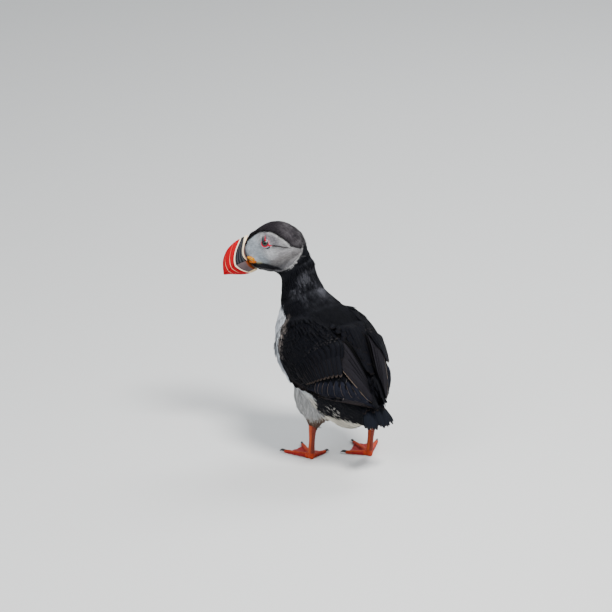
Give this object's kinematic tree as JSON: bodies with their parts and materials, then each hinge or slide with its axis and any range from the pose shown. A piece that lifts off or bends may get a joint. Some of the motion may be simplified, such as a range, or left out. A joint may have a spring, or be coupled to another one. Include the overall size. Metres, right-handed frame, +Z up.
{
  "type": "atlantic puffin",
  "caption": "Life-size standing Atlantic puffin with its head turned to its left, folded wings, deep banded bill and webbed feet.",
  "frame": {"origin": "on the ground plane, under the middle of the whole bird's box", "axes": "+Z up, -Y the way the bird's body faces, +X to the bird's left"},
  "size_m": [0.1042, 0.1786, 0.2216],
  "materials": {
    "black_plumage": "matt black feathers with a slight sheen, white on the breast and belly",
    "white_plumage": "soft white feathers",
    "face_plumage": "short pale grey feathers, with a dark cap and nape",
    "bill_horn": "red-orange horn with pale grooves and a blue-grey base",
    "bill_ridge": "cream horn",
    "gape_skin": "wrinkled orange-yellow skin",
    "eye": "dark glossy eye with a red orbital ring",
    "eye_plate": "blue-grey horny plates",
    "leg_skin": "orange-red scaly skin",
    "claw": "black horn"
  },
  "bodies": {
    "root": {"trunk": "black_plumage", "neck": "black_plumage", "head": "face_plumage", "tail": "black_plumage", "bill_upper": "bill_horn", "bill_lower": "bill_horn", "bill_ridge": "bill_ridge", "eye_left": "eye", "brow_plate_left": "eye_plate", "cheek_plate_left": "eye_plate", "rosette_left": "gape_skin", "wing_left": "black_plumage", "thigh_left": "white_plumage", "tarsus_left": "leg_skin", "foot_left": "leg_skin", "claw_outer_left": "claw", "claw_middle_left": "claw", "claw_inner_left": "claw", "eye_right": "eye", "brow_plate_right": "eye_plate", "cheek_plate_right": "eye_plate", "rosette_right": "gape_skin", "wing_right": "black_plumage", "thigh_right": "white_plumage", "tarsus_right": "leg_skin", "foot_right": "leg_skin", "claw_outer_right": "claw", "claw_middle_right": "claw", "claw_inner_right": "claw"}
  },
  "joints": []
}
